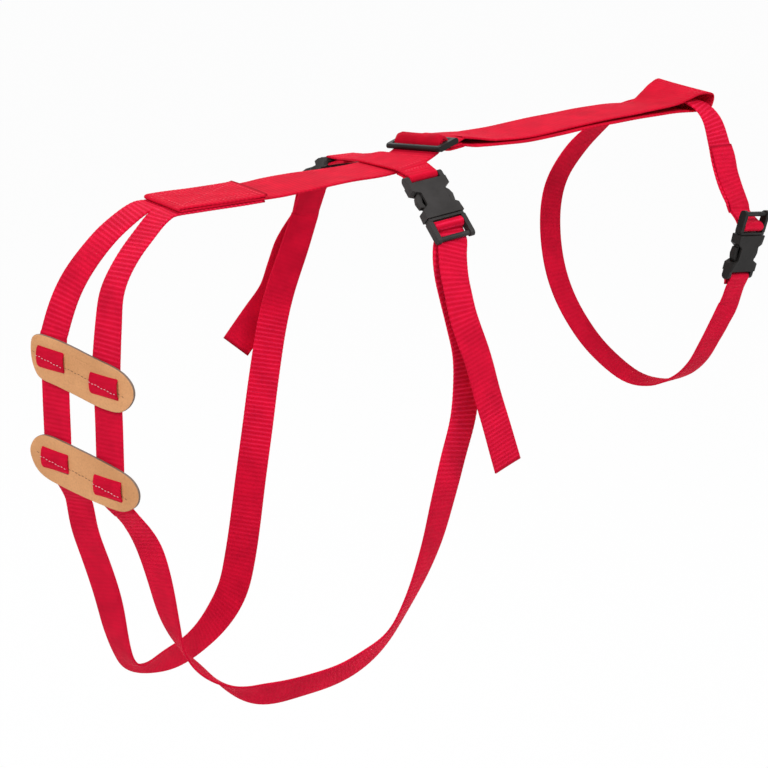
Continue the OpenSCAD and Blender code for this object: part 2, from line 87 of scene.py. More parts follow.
def area_light(name, place, target, size, watts):
    data = bpy.data.lights.new(name, "AREA")
    data.shape, data.size, data.energy = "SQUARE", size, watts
    aim(add_object(name, data), place, Vector(target) - Vector(place))


area_light("key", (0.9, -1.5, 1.5), (0, 0, -0.1), 0.9, 29)
area_light("fill", (-1.8, -0.4, 1.5), (-0.1, 0, -0.1), 1.2, 31)
area_light("rim", (0.2, 1.6, 1.2), (0, 0, -0.1), 1.0, 12)


# ---- small helpers for nodes ----

def new_node(tree, kind, **values):
    node = tree.nodes.new(kind)
    for key, value in values.items():
        setattr(node, key, value)
    return node


def put(tree, value, socket):
    if isinstance(value, bpy.types.NodeSocket):
        tree.links.new(value, socket)
    else:
        socket.default_value = value


def fill(tree, node, values):
    """Links or sets a node's inputs by their titles, and gives its outputs."""
    for title, value in values.items():
        put(tree, value, node.inputs[title])
    return node.outputs


def maths(tree, operation, *values):
    node = new_node(tree, "ShaderNodeMath", operation=operation)
    for i, value in enumerate(values):
        put(tree, value, node.inputs[i])
    return node.outputs[0]


def mix_colour(tree, factor, a, b, blend="MIX"):
    node = new_node(tree, "ShaderNodeMix", data_type="RGBA", blend_type=blend)
    for i, value in ((0, factor), (6, a), (7, b)):
        put(tree, value, node.inputs[i])
    return node.outputs[2]


def tinted(tree, tone, tint):
    return mix_colour(tree, 1.0, tone, tint, "MULTIPLY")


def noise(tree, vector, scale, detail, roughness=0.5):
    node = new_node(tree, "ShaderNodeTexNoise")
    return fill(tree, node, {"Vector": vector, "Scale": scale, "Detail": detail, "Roughness": roughness})[0]


def spread(tree, value, low, high, to_low=0.0, to_high=1.0):
    node = new_node(tree, "ShaderNodeMapRange")
    for i, v in enumerate((value, low, high, to_low, to_high)):
        put(tree, v, node.inputs[i])
    return node.outputs[0]


def turns(tree, distance, pitch):
    """An angle that goes once round in each pitch."""
    return maths(tree, "MULTIPLY", maths(tree, "DIVIDE", distance, pitch), math.tau)


def lifted(tree, wave):
    """Brings a wave from between -1 and 1 to between 0 and 1."""
    return maths(tree, "MULTIPLY_ADD", wave, 0.5, 0.5)


def group_of(kind, name, inputs, outputs):
    """A node group, of kind Shader or Geometry, with its input and output nodes' sockets."""
    tree = bpy.data.node_groups.new(name, kind + "NodeTree")
    for title, value_kind, value in inputs:
        socket = tree.interface.new_socket(title, in_out="INPUT", socket_type="NodeSocket" + value_kind)
        if value is not None:
            socket.default_value = value
    for title, value_kind in outputs:
        tree.interface.new_socket(title, in_out="OUTPUT", socket_type="NodeSocket" + value_kind)
    return tree, tree.nodes.new("NodeGroupInput").outputs, tree.nodes.new("NodeGroupOutput").inputs


# ---- shared effects ----

RIB_PITCH = 3.5


def make_rib_weave():
    """Crosswise ribs of webbing with the fine yarns that run along them, on a map in centimetres."""
    tree, given, out = group_of(
        "Shader", "rib weave",
        [("Map", "Vector", None), ("Rib pitch", "Float", 0.35), ("Yarn pitch", "Float", 0.07)],
        [("Rib", "Float"), ("Yarn", "Float"), ("Fuzz", "Float")])
    split = new_node(tree, "ShaderNodeSeparateXYZ")
    tree.links.new(given["Map"], split.inputs[0])
    wander = noise(tree, given["Map"], 1.3, 2)
    along = maths(tree, "ADD", split.outputs[1], maths(tree, "MULTIPLY", wander, 0.05))
    rib = maths(tree, "COSINE", turns(tree, along, given["Rib pitch"]))
    over = turns(tree, split.outputs[0], given["Yarn pitch"])
    back = turns(tree, along, given["Yarn pitch"])
    yarn = maths(tree, "MULTIPLY", maths(tree, "SINE", over), maths(tree, "COSINE", back))
    tree.links.new(lifted(tree, rib), out["Rib"])
    tree.links.new(lifted(tree, yarn), out["Yarn"])
    tree.links.new(noise(tree, given["Map"], 22, 4, 0.7), out["Fuzz"])
    return tree


def make_surface_grain():
    """A fine grain and a slow change of tone, for moulded plastic, leather and thread."""
    tree, given, out = group_of(
        "Shader", "surface grain",
        [("Place", "Vector", None), ("Grain scale", "Float", 900.0), ("Cloud scale", "Float", 30.0)],
        [("Grain", "Float"), ("Cloud", "Float")])
    for title, detail in (("Grain", 4), ("Cloud", 3)):
        tree.links.new(noise(tree, given["Place"], given[title + " scale"], detail), out[title])
    return tree


RIB_WEAVE = make_rib_weave()
SURFACE_GRAIN = make_surface_grain()


def use_group(tree, group, **values):
    node = new_node(tree, "ShaderNodeGroup", node_tree=group)
    return fill(tree, node, {key.replace("_", " "): value for key, value in values.items()})


def new_material(name):
    material = bpy.data.materials.new(name)
    material.use_nodes = True
    tree = material.node_tree
    return material, tree, tree.nodes["Principled BSDF"]


def bump(tree, height, strength, distance):
    node = new_node(tree, "ShaderNodeBump")
    return fill(tree, node, {"Strength": strength, "Distance": distance * MM, "Height": height})[0]


def marked(tree, name):
    return new_node(tree, "ShaderNodeAttribute", attribute_name=name).outputs["Fac"]


# ---- materials ----

# Multipliers for painted shade: where a strap's ribs lie flat, and at its cut ends.
CALM_SHADE_TINT, END_SHADE_TINT = (0.82, 0.7, 0.76, 1), (0.5, 0.35, 0.42, 1)


def webbing_material(name, crown, groove_shade, crown_highlight):
    """Red webbing: rib crowns with a painted highlight, painted shade in the grooves, and more painted shade where
    the ribs lie flat and at its cut ends.
    """
    material, tree, shader = new_material(name)
    uv = new_node(tree, "ShaderNodeTexCoord").outputs["UV"]
    weave = use_group(tree, RIB_WEAVE, Map=uv, Rib_pitch=RIB_PITCH / 10)
    relief = spread(tree, marked(tree, "relief"), 0, 0.8)
    rib = maths(tree, "MULTIPLY_ADD", maths(tree, "SUBTRACT", weave["Rib"], 0.5), relief, 0.5)
    # Painted shade: the grooves between the ribs take the darker colour.
    tone = mix_colour(tree, spread(tree, rib, 0.08, 0.75), groove_shade, crown)
    # Painted shade where the ribs are calmed: the red deepens as their relief falls.
    tone = mix_colour(tree, relief, tinted(tree, tone, CALM_SHADE_TINT), tone)
    # Painted shade at the cut ends of a strap.
    tone = mix_colour(tree, marked(tree, "end_shade"), tone, tinted(tree, tone, END_SHADE_TINT))
    # Painted highlight: the rib crowns lighten towards the highlight colour, broken up by the fuzz.
    lit = maths(tree, "MULTIPLY", spread(tree, rib, 0.8, 1), spread(tree, weave["Fuzz"], 0.3, 0.7, 0.25, 0.8))
    tone = mix_colour(tree, lit, tone, crown_highlight)
    slow = spread(tree, noise(tree, uv, 0.55, 3), 0.3, 0.7, 0.86, 1.08)
    shade = new_node(tree, "ShaderNodeCombineColor")
    for i in range(3):
        tree.links.new(slow, shade.inputs[i])
    height = [maths(tree, "MULTIPLY", weave[k], share) for k, share in (("Yarn", 0.45), ("Fuzz", 0.55))]
    fill(tree, shader, {
        "Base Color": tinted(tree, tone, shade.outputs[0]),
        "Roughness": spread(tree, weave["Yarn"], 0, 1, 0.74, 0.62), "Specular IOR Level": 0.04,
        "Sheen Weight": 0.02, "Sheen Roughness": 0.45, "Sheen Tint": (1, 0.45, 0.6, 1),
        "Normal": bump(tree, maths(tree, "ADD", *height), 0.55, 0.4)})
    return material


# Each webbing gives its crown colour, the painted shade of its grooves and the painted highlight of its crowns.
RED = webbing_material(
    "red webbing", (0.79, 0.007, 0.045, 1), (0.67, 0.004, 0.030, 1), (0.88, 0.030, 0.105, 1))
RED_BROAD = webbing_material(
    "red broad webbing", (0.70, 0.005, 0.030, 1), (0.63, 0.003, 0.024, 1), (0.75, 0.010, 0.048, 1))


def grained_material(name, dark, light, scales, rough, relief):
    """A surface whose tone drifts slowly and whose gloss and relief follow a fine grain.

    scales are those of the grain and of the drift, rough is the range of roughness, and relief is the bump's
    strength and distance.
    """
    material, tree, shader = new_material(name)
    place = new_node(tree, "ShaderNodeTexCoord").outputs["Object"]
    grain = use_group(tree, SURFACE_GRAIN, Place=place, Grain_scale=scales[0], Cloud_scale=scales[1])
    tone = mix_colour(tree, spread(tree, grain["Cloud"], 0.3, 0.7), dark, light)
    fill(tree, shader, {"Base Color": tone, "Roughness": spread(tree, grain["Grain"], 0.3, 0.7, *rough),
                        "Normal": bump(tree, grain["Grain"], *relief)})
    return material, tree, shader, grain["Grain"], tone


def plastic_material(name, dark, light, low, high):
    material, _, shader, _, _ = grained_material(name, dark, light, (1400.0, 60.0), (low, high), (0.22, 0.25))
    shader.inputs["Specular IOR Level"].default_value = 0.12
    return material


def leather_material(name, dark, light, speck, rim):
    material, tree, shader, grain, face = grained_material(
        name, dark, light, (700.0, 22.0), (0.55, 0.72), (0.35, 0.4))
    face = mix_colour(tree, spread(tree, grain, 0.45, 0.75, 0, 0.35), face, speck)
    tree.links.new(mix_colour(tree, marked(tree, "rim"), face, rim), shader.inputs["Base Color"])
    return material


def thread_material(name, dark, light):
    return grained_material(name, dark, light, (2500.0, 300.0), (0.5, 0.7), (0.4, 0.2))[0]


GREY = plastic_material("grey plastic", (0.025, 0.0225, 0.0215, 1), (0.042, 0.0385, 0.0375, 1), 0.43, 0.57)
BLACK = plastic_material("black plastic", (0.009, 0.008, 0.0075, 1), (0.017, 0.0155, 0.0145, 1), 0.35, 0.49)
LEATHER = leather_material("tan leather", (0.60, 0.272, 0.102, 1), (0.74, 0.36, 0.151, 1),
                           speck=(0.42, 0.20, 0.08, 1), rim=(0.17, 0.115, 0.085, 1))
PALE_THREAD = thread_material("pale thread", (0.62, 0.22, 0.26, 1), (0.84, 0.42, 0.45, 1))
RED_THREAD = thread_material("red thread", (0.68, 0.008, 0.04, 1), (0.80, 0.016, 0.06, 1))
BROWN_THREAD = thread_material("brown thread", (0.12, 0.06, 0.03, 1), (0.20, 0.10, 0.05, 1))


# ---- directions and places ----

ROW_STEPS = 6


def unit(v):
    v = np.asarray(v, float)
    return v / np.linalg.norm(v)


def heading(yaw, rise):
    y, r = math.radians(yaw), math.radians(rise)
    return np.array((math.cos(r) * math.cos(y), math.cos(r) * math.sin(y), math.sin(r)))


def frame_of(origin, x, y):
    a = unit(x)
    c = unit(np.cross(a, y))
    return np.array(origin, float), a, np.cross(c, a), c


def hang(origin, yaw, slope, bank):
    """A frame whose y runs down a slope and whose x is banked about it."""
    y = heading(yaw, -slope)
    s, w, b = math.radians(slope), math.radians(yaw), math.radians(bank)
    z = np.array((math.sin(s) * math.cos(w), math.sin(s) * math.sin(w), math.cos(s)))
    x = np.cross(y, z)
    return np.array(origin, float), x * math.cos(b) + z * math.sin(b), y, z * math.cos(b) - x * math.sin(b)


def place_in(f, p):
    return f[0] + p[0] * f[1] + p[1] * f[2] + p[2] * f[3]


def smooth(rows):
    """A curve through all rows, with ROW_STEPS rows for each one given."""
    rows = [np.array(r, float) for r in rows]
    out, last = [], len(rows) - 1
    for i in range(last):
        a, b, c, d = rows[max(i - 1, 0)], rows[i], rows[i + 1], rows[min(i + 2, last)]
        for j in range(ROW_STEPS):
            t = j / ROW_STEPS
            out.append(0.5 * (2 * b + (c - a) * t + (2 * a - 5 * b + 4 * c - d) * t * t
                              + (3 * b - a - 3 * c + d) * t ** 3))
    return out + [rows[-1]]


def station(row):
    """A path point from (x, y, z, yaw, rise): its place, and the direction across the webbing there."""
    return np.concatenate((row[:3], heading(row[3], row[4])))


def stations(rows):
    return [station(r) for r in smooth(rows)]


def local(f, places, side=1):
    """Path points from places in a frame, as (y, z) or (x, y, z), with the webbing across along its x."""
    return [np.concatenate((place_in(f, p if len(p) == 3 else (0, *p)), side * f[1])) for p in places]


def arc(c, r, a0, a1, n, tall=1):
    angles = [math.radians(a0 + (a1 - a0) * i / n) for i in range(n + 1)]
    return [(c[0] + r * math.cos(a), c[1] + tall * r * math.sin(a)) for a in angles]


# The webbing's sizes, as the solids have them.
STRAP_W, STRAP_T, BACK_W, BACK_T, PLY_GAP = 25, 1.6, 50, 1.6, 0.25
PLY, BACK_PLY = STRAP_T + PLY_GAP, BACK_T + PLY_GAP
# The frames of the three buckles and of the slider.
NEAR = hang((-0.5, -43, -1.7), -85, 46, -8)
FAR = hang((3, 70, -6), 87, 30, 0)
COLLAR = frame_of((300, -72, -114), heading(10, -8), (0.15, -0.17, 1))
SLIDER = hang((31, 0, 14), 9, -15, 5)
# In a buckle: the roll of webbing round a bar, the places of the ladder bar and the end bar, the height of the
# strap beneath, and how much the collar's strap leans.
WRAP, LADDER, END_BAR, COLLAR_LEAN = 3.05, 43.1, 54.1, 13
UNDER = -WRAP
# In the slider: the rolls round its bars, how far apart they are, and how high the lowest ply lies.
END_LOOP, HUMP, UNDER_BAR = 3.15, 5.0, 3.35
BAR_PITCH = HUMP + UNDER_BAR
REACH = BAR_PITCH + 10
END_PLY = -UNDER_BAR - 2 * BACK_PLY
# Where the back strap's tail end is, and how long its fold is.
TAIL_X, TAIL_Z, TAIL_BANK, FOLD = -197, -6.7, -2, 72
CROSS_Z = BACK_T + PLY_GAP + STRAP_T / 2 + 1.3


# ---- webbing as a ribbed sheet ----

SHEET_T, SELVAGE, SELVAGE_ROUND = 1.7, 0.9, 0.25
RIB_H, BROAD_RIB_H = 0.15, 0.1
# The distance between two rings of points along a strap.
STEP = RIB_PITCH / 6
# How far the smoothing reaches along a strap: for its places, its turn, its slack parts and its direction.
EASE, ACROSS_EASE, SLACK_EASE, AHEAD_EASE = 1.0, 3.0, 8, 10
# The power that keeps a tuck to the outermost edge, and how far the painted shade at a cut end reaches.
CURL, END_SHADE_REACH = 24, 1.6
# Two lengths of wave each, for how a strap sways and for how its ribs wear.
SWAY_LONG, SWAY_SHORT, WEAR_LONG, WEAR_SHORT = 17, 7.3, 41, 13


def stored(tree, name, kind="FLOAT"):
    node = new_node(tree, "GeometryNodeInputNamedAttribute", data_type=kind)
    return fill(tree, node, {"Name": name})[0]


def finish_off(tree, geometry, finish, result):
    """Ends a geometry tree with real geometry that has its finish on."""
    real = fill(tree, tree.nodes.new("GeometryNodeRealizeInstances"), {"Geometry": geometry})
    coat = tree.nodes.new("GeometryNodeSetMaterial")
    tree.links.new(fill(tree, coat, {"Geometry": real[0], "Material": finish})[0], result)


def make_rib_tree():
    """Raises crosswise ribs on a webbing sheet from its distance along the strap."""
    tree, given, out = group_of(
        "Geometry", "webbing ribs",
        [("Sheet", "Geometry", None), ("Rib pitch", "Float", RIB_PITCH), ("Rib height", "Float", RIB_H * MM),
         ("Finish", "Material", None)], [("Webbing", "Geometry")])
    wave = lifted(tree, maths(tree, "COSINE", turns(tree, stored(tree, "along"), given["Rib pitch"])))
    height = maths(tree, "MULTIPLY", maths(tree, "MULTIPLY", wave, given["Rib height"]), stored(tree, "relief"))
    normal = tree.nodes.new("GeometryNodeInputNormal").outputs[0]
    scale = new_node(tree, "ShaderNodeVectorMath", operation="SCALE")
    tree.links.new(normal, scale.inputs[0])
    tree.links.new(height, scale.inputs["Scale"])
    move = tree.nodes.new("GeometryNodeSetPosition")
    moved = fill(tree, move, {"Geometry": given["Sheet"], "Offset": scale.outputs[0]})
    finish_off(tree, moved[0], given["Finish"], out["Webbing"])
    return tree


def set_input(modifier, title, value):
    for item in modifier.node_group.interface.items_tree:
        if item.item_type == "SOCKET" and item.in_out == "INPUT" and item.name == title:
            modifier[item.identifier] = value
            return
    raise KeyError(title)


def bake(obj, tree, name, **inputs):
    """Runs a geometry tree on obj and returns the plain mesh object that it makes."""
    modifier = obj.modifiers.new(tree.name, "NODES")
    modifier.node_group = tree
    for title, value in inputs.items():
        set_input(modifier, title.replace("_", " "), value)
    graph = bpy.context.evaluated_depsgraph_get()
    mesh = bpy.data.meshes.new_from_object(
        obj.evaluated_get(graph), preserve_all_data_layers=True, depsgraph=graph)
    bpy.data.objects.remove(obj)
    made = add_object(name, mesh)
    mesh.name = name
    mesh.shade_smooth()
    return made


RIBS = make_rib_tree()


def mark_points(mesh, name, values, kind="FLOAT", key="value"):
    """Keeps a number or a direction for each point of a mesh."""
    mesh.attributes.new(name, kind, "POINT").data.foreach_set(key, np.asarray(values, np.float32).ravel())


def soften(values, reach, step):
    """Gaussian smoothing that keeps both ends in place."""
    sigma = reach / step
    n = int(3 * sigma) + 1
    kernel = np.exp(-0.5 * (np.arange(-n, n + 1) / sigma) ** 2)
    kernel /= kernel.sum()
    ahead = 2 * values[0] - values[n:0:-1]
    after = 2 * values[-1] - values[-2:-n - 2:-1]
    full = np.concatenate((ahead, values, after))
    return np.stack([np.convolve(full[:, k], kernel, "valid") for k in range(values.shape[1])], 1)


def fade(at, middle, wide, power=4):
    """1 around a middle distance along a strap, fading to 0 beyond the half width."""
    return np.exp(-((at - middle) / wide) ** power)


def summed(at, areas):
    return sum((amount * fade(at, middle, wide) for middle, wide, amount in areas), np.zeros(len(at)))


def between(start, end, *amount):
    """An area of a strap from its start and end, as (middle, half width) and what else it is given."""
    return ((start + end) / 2, (end - start) / 2, *amount)


def lie_of(path, slack=()):
    """Evenly spaced points along a path with the directions across and out of the webbing."""
    path = np.array(path)
    far = np.concatenate(([0], np.cumsum(np.linalg.norm(np.diff(path[:, :3], axis=0), axis=1))))
    keep = np.concatenate(([True], np.diff(far) > 1e-6))
    path, far = path[keep], far[keep]
    count = max(8, int(round(far[-1] / STEP)))
    at = np.linspace(0, far[-1], count + 1)
    step = far[-1] / count
    full = np.stack([np.interp(at, far, path[:, k]) for k in range(6)], 1)
    spot = soften(full[:, :3], EASE, step)
    if slack:
        easy = soften(full[:, :3], SLACK_EASE, step)
        for middle, wide in slack:
            loose = fade(at, middle, wide, 8)[:, None]
            spot = spot * (1 - loose) + easy * loose
    across = soften(full[:, 3:], ACROSS_EASE, step)
    ahead = np.gradient(spot, axis=0)
    ahead /= np.linalg.norm(ahead, axis=1)[:, None]
    across -= (across * ahead).sum(1)[:, None] * ahead
    across /= np.linalg.norm(across, axis=1)[:, None]
    return at, spot, across, np.cross(across, ahead)


def length_of(path):
    return lie_of(path)[0][-1]


def section_of(width):
    """Places across and heights of the points round a strap's section, whose selvages are rounded."""
    inner = np.linspace(-1, 1, 13 if width > STRAP_W else 7) * (width / 2 - SELVAGE)
    edge = [width / 2 - SELVAGE_ROUND, width / 2]
    over = np.concatenate(([-width / 2, -width / 2 + SELVAGE_ROUND], inner, edge))
    half = np.full(len(over), SHEET_T / 2)
    half[[0, -1]], half[[1, -2]] = SHEET_T * 0.2, SHEET_T * 0.4
    return np.concatenate((over, over[::-1])), np.concatenate((half, -half[::-1]))


def sheet_of(name, points, along, across):
    """A closed sheet through rings of points, with a map in centimetres."""
    n, m = points.shape[:2]
    i, j = np.meshgrid(np.arange(n - 1), np.arange(m), indexing="ij")
    after = (j + 1) % m
    quads = np.stack((i * m + j, i * m + after, (i + 1) * m + after, (i + 1) * m + j), -1).reshape(-1, 4)
    faces = [tuple(q) for q in quads.tolist()]
    faces += [tuple(range(m - 1, -1, -1)), tuple(range((n - 1) * m, n * m))]
    mesh = bpy.data.meshes.new(name)
    mesh.from_pydata((points.reshape(-1, 3) * MM).tolist(), [], faces)
    corner = np.empty(len(mesh.loops), np.int32)
    mesh.loops.foreach_get("vertex_index", corner)
    uv = np.stack((across[corner % m] / 10, along[corner // m] / 10), 1)
    mesh.uv_layers.new(name="UVMap").data.foreach_set("uv", uv.ravel().astype(np.float32))
    return mesh


def webbing(name, path, width, finish, parts, cut=0, sway=0.2, tucks=(), shears=(), calm=(), slack=()):
    """One strap, made as a closed sheet with rounded selvages and a slight sway.

    parts says what the strap rides on and which nodes it stands for, once, or twice where a cut divides it at
    that distance from its end. The other lists are of areas along it, as (middle, half width, amount): tucks
    draw the edges in, shears slant the sheet and calm flattens the ribs and darkens them with painted shade.
    Slack areas have no amount and ease its bends.
    """
    at, spot, across, out = lie_of(path, slack)
    phase = 0.37 * len(at)
    drift = sway * (np.sin(at / SWAY_LONG + phase) + 0.6 * np.sin(at / SWAY_SHORT + 2 * phase))
    ring_u, ring_h = section_of(width)
    edge = np.abs(ring_u / (width / 2))
    shift = ring_u[None, :] * summed(at, shears)[:, None]
    ahead = np.gradient(soften(spot, min(AHEAD_EASE, at[-1] / 8), at[1]), axis=0) / at[1]
    late = at[:, None] + shift
    spot, out = (np.stack([np.interp(late, at, v[:, k]) for k in range(3)], 2) for v in (spot, out))
    height = (ring_h[None, :] + drift[:, None] * (edge ** 2 - 0.4)[None, :]
              - summed(at, tucks)[:, None] * (edge ** CURL)[None, :])
    points = (spot - shift[:, :, None] * ahead[:, None, :] + ring_u[None, :, None] * across[:, None, :]
              + height[:, :, None] * out)
    relief = 0.78 + 0.22 * np.sin(at / WEAR_LONG + phase) + 0.12 * np.sin(at / WEAR_SHORT + phase)
    for middle, wide, amount in calm:
        relief = relief * (1 - amount * fade(at, middle, wide))
    # Painted shade that darkens each cut end and fades within a short reach.
    end_shade = np.exp(-(np.minimum(at, at[-1] - at) / END_SHADE_REACH) ** 2)
    marks = [0, *([int(np.searchsorted(at, at[-1] - cut))] if cut else []), len(at) - 1]
    for k, (ride, nodes) in enumerate(parts):
        part = slice(marks[k], marks[k + 1] + 1)
        mesh = sheet_of(name, points[part], at[part], ring_u)
        for title, values in (("along", at), ("relief", relief), ("end_shade", end_shade)):
            mark_points(mesh, title, np.repeat(values[part], len(ring_u)))
        piece = bake(add_object(name, mesh), RIBS, f"{name}_{k + 1}" if cut else name, Rib_pitch=RIB_PITCH,
                     Rib_height=(BROAD_RIB_H if width > STRAP_W else RIB_H) * MM, Finish=finish)
        if isinstance(ride, str):
            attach(piece, ride)
        else:
            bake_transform(piece)
        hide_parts(*nodes)


# ---- back strap ----

FOLD_R = BACK_PLY / 2


def tail_line(x, lift):
    """The upper ply of the folded tail, which follows the strap beneath it."""
    return (x, 0, TAIL_Z + (x - TAIL_X) / FOLD + lift, -90, TAIL_BANK)


back_rows = [
    (TAIL_X, 0, TAIL_Z, -90, TAIL_BANK), (TAIL_X + FOLD, 0, TAIL_Z + 1, -90, TAIL_BANK),
    (-100, 0, -4.5, -90, -3), (-75, 0, -3, -90, -2), (-50, 0, -2.5, -90, 0), (-25, 0, -1.6, -90, 0),
    (-12, 0, -0.6, -90, 0), (0, 0, BACK_T / 2, -89, 1)]
rear_path = ([station(tail_line(TAIL_X + x, BACK_PLY + lift))
              for x, lift in ((FOLD, 1.1), (68, 0.3), (56, 0), (24, 0), (0.3, 0))]
             + [station((x, 0, z, -90, TAIL_BANK))
                for x, z in arc((TAIL_X, TAIL_Z + FOLD_R), FOLD_R, 120, 240, 4)]
             + stations(back_rows)
             + local(SLIDER, [(-REACH - 4, -4.55), (-REACH, -4.25), (-REACH + 2, -4.15)])
             + local(SLIDER, arc((-BAR_PITCH, 0), UNDER_BAR, -90, 0, 5))
             + local(SLIDER, arc((0, 0), HUMP, 165, 15, 10, 1 + 2.5 / HUMP))
             + local(SLIDER, arc((BAR_PITCH, 0), UNDER_BAR, 180, 268, 5)))
# The last 11 points begin just past the middle of the hump.
crest = length_of(rear_path) - length_of(rear_path[-11:])
# At the crest of the hump the ribs lie flat and take painted shade.
webbing("back_webbing", rear_path, BACK_W, RED_BROAD,
        [(("harness", "slider", place_in(SLIDER, (0, -46, -5)), place_in(SLIDER, (0, -15, -4))),
          ("back_strap", "tail_fold", "back_hump"))],
        sway=0.35, tucks=[(crest, 7, 3.2)], calm=[(crest, 12, 0.9)])

# The neck fold: its place along the back, its height, the gap between its plies, and its turn.
NECK, RISE, GAP, NECK_YAW = 305, 29, 15, -70
neck_rows = [
    (84, 0, 14, -90, 1), (109, 0, 13.8, -90, -1), (135, 0, 15.7, -90, -2), (175, -2, 19, -90, -1),
    (225, -4, 22.4, -90, 0), (NECK - 48, -5, 23.4, -86, 4), (NECK - 30, -4, RISE - 0.5, -78, 0),
    (NECK - 16, -1, RISE + 3.5, -72, -4), (NECK - 4, 2, RISE + 4.5, NECK_YAW, -9),
    (NECK + 3, 4, RISE - 1, NECK_YAW, -9), (NECK - 3, 3, RISE + 3.9 - GAP, NECK_YAW, -5),
    (NECK - 18, -1, RISE + 4.4 - GAP, -74, -3), (NECK - 45, -4, 18.6, -86, 1), (225, -5, 18.9, -90, -1),
    (175, -4.5, 16.4, -90, -2), (125, -2.5, 12.2, -90, -2), (92, -2.5, 11.8, -90, -2), (72, -2, 11.9, -88, -1)]
neck_path = (local(SLIDER, [(BAR_PITCH + 0.4, -UNDER_BAR), (REACH + 5, -UNDER_BAR)]) + stations(neck_rows)
             + local(SLIDER, [(REACH + 5, END_PLY - 1.4), (REACH + 0.7, END_PLY - 2), (BAR_PITCH, END_PLY),
                              (BAR_PITCH / 2, END_PLY + 1), (0.5, -END_LOOP - 1.2)])
             + local(SLIDER, arc((0, 0), END_LOOP, 235, 0, 12))
             + local(SLIDER, [(END_LOOP + 0.3, -2.6), (BAR_PITCH - 3.6, END_PLY + 3.2),
                              (BAR_PITCH, END_PLY + BACK_PLY), (REACH, END_PLY + BACK_PLY - 1.6)]))
webbing("neck_webbing", neck_path, BACK_W - 0.6, RED_BROAD,
        [(("slider", "harness", place_in(SLIDER, (0, 14, -5)), place_in(SLIDER, (0, 80, -5))),
          ("neck_loop", "slider_end_loop"))], sway=0.3)


# ---- cross strap ----

# From the strap down to its sewn end beneath.
DROP = 1.2 * PLY
cross_rows = [
    (0, -35, CROSS_Z - 1.2, 0, 9), (0, -27, CROSS_Z + 0.5, 0, 11), (0, -12, CROSS_Z + 0.4, 0, 11),
    (0, 0, CROSS_Z + 0.1, 0, 11), (0, 25, CROSS_Z - 0.7, 0, 9), (2, 42, CROSS_Z - 3.8, 0, 4),
    (4, 58, CROSS_Z - 6.4, -2, 2)]
near_end = [(0, -28, CROSS_Z - 0.2 - DROP, 0, 11), (0, -35, CROSS_Z - 1.6 - DROP, 0, 9)]
far_end = [(4, 58, CROSS_Z - 6.4 - DROP, -2, 2), (2, 44, CROSS_Z - 4.2 - DROP, 0, 4)]
cross_path = ([station(r) for r in near_end] + local(NEAR, arc((0, 0), WRAP, -80, 150, 9), -1)
              + stations(cross_rows) + local(FAR, arc((0, 0), WRAP, 140, -90, 9))
              + [station(r) for r in far_end])
webbing("cross_webbing", cross_path, STRAP_W, RED_BROAD, [("harness", ["cross_strap"])], sway=0.12)


# ---- rear straps ----

TAB_YAW, TAB_TILT, TAB_T, TAB_PITCH, TAB_LEN = -68, -14, 2.5, 50, 98
LEAN = math.tan(math.radians(TAB_TILT))
# A strap's dip at a tab runs between level and the tab's lean.
SLANT = 0.45 * LEAN
UPPER, LOWER = (frame_of((-268, 0, z), heading(TAB_YAW, TAB_TILT), (0, 0, 1)) for z in (-119, -195))
# How far out a strap's middle lies behind a tab and in front of it.
BEHIND, FRONT = -1.05, TAB_T + 1.05
SLIT_Y, SLIT_H = 7.6, 4.6
PATCH_Y = 12.65


def weave(f, side, step, shift):
    """Through a tab's two slits, from behind it and back; step and shift move the last place back and aside."""
    walk = [(17.5, BEHIND, 0), (9.4, BEHIND, 0), (5.8, FRONT, 0), (3, FRONT + 0.5, 0), (0, FRONT + 0.8, 0),
            (-3, FRONT + 0.5, 0), (-5.8, FRONT, 0), (-9.4, BEHIND, 0), (-17.5, BEHIND - step, shift)]
    return [np.concatenate((place_in(f, (side * TAB_PITCH / 2 + y * LEAN + dx, y, z)), heading(TAB_YAW, 0)))
            for y, z, dx in walk]


# How many points a weave has, and which of them is in front of the tab.
WEAVE_LEN, WEAVE_MIDDLE = 9, 4


def sewn_end(side):
    """The end sewn under the tail patch, where the two rear straps lie side by side."""
    z = TAIL_Z - BACK_PLY - 0.2 + side * 0.3
    return [(x, side * PATCH_Y, z + up, -90, TAIL_BANK)
            for x, up in ((TAIL_X + FOLD - 2, 0.95), (TAIL_X + FOLD / 2, 0.5), (TAIL_X, 0))]


far_top = [(-208, 12, -8, -90, -5), (-218, 14, -15, -84, -4), (-231, 16, -24, -79, -2), (-243, 18, -36, -76, 0),
           (-254, 20, -49, -74, 0), (-263, 22, -64, -72, 0), (-270, 23, -80, -70, 0), (-275, 23.5, -95, -70, 0)]
near_top = [(-205, -12, -9, -90, -5), (-217, -14, -20, -90, -4), (-232, -17, -32, -88, -2),
            (-245, -20, -47, -84, 0), (-253, -22, -60, -79, 0), (-255, -23, -75, -74, 0),
            (-257, -23.5, -90, -71, 0)]
far_low = [
    (-261, 22, -223, -66, 0), (-258, 22, -247, -64, 0), (-249, 21, -276, -62, 0), (-241, 20, -308, -64, 0),
    (-235, 20, -340, -76, 3), (-224, 21, -364, -96, 26), (-190, 28, -369, -127, 57), (-163, 37, -368, -153, 54),
    (-135, 47, -357, -178, 34), (-111, 59, -341, -194, 16), (-95, 72, -318, -199, 2), (-82, 84, -292, -199, 0),
    (-70, 95, -263, -199, 0), (-57, 105, -228, -199, 0), (-47, 112, -196, -198, 0), (-36, 117, -155, -195, 0),
    (-25, 120, -123, -191, 0), (-8, 122, -86, -186, 0), (3, 123, -60, -183, 0)]
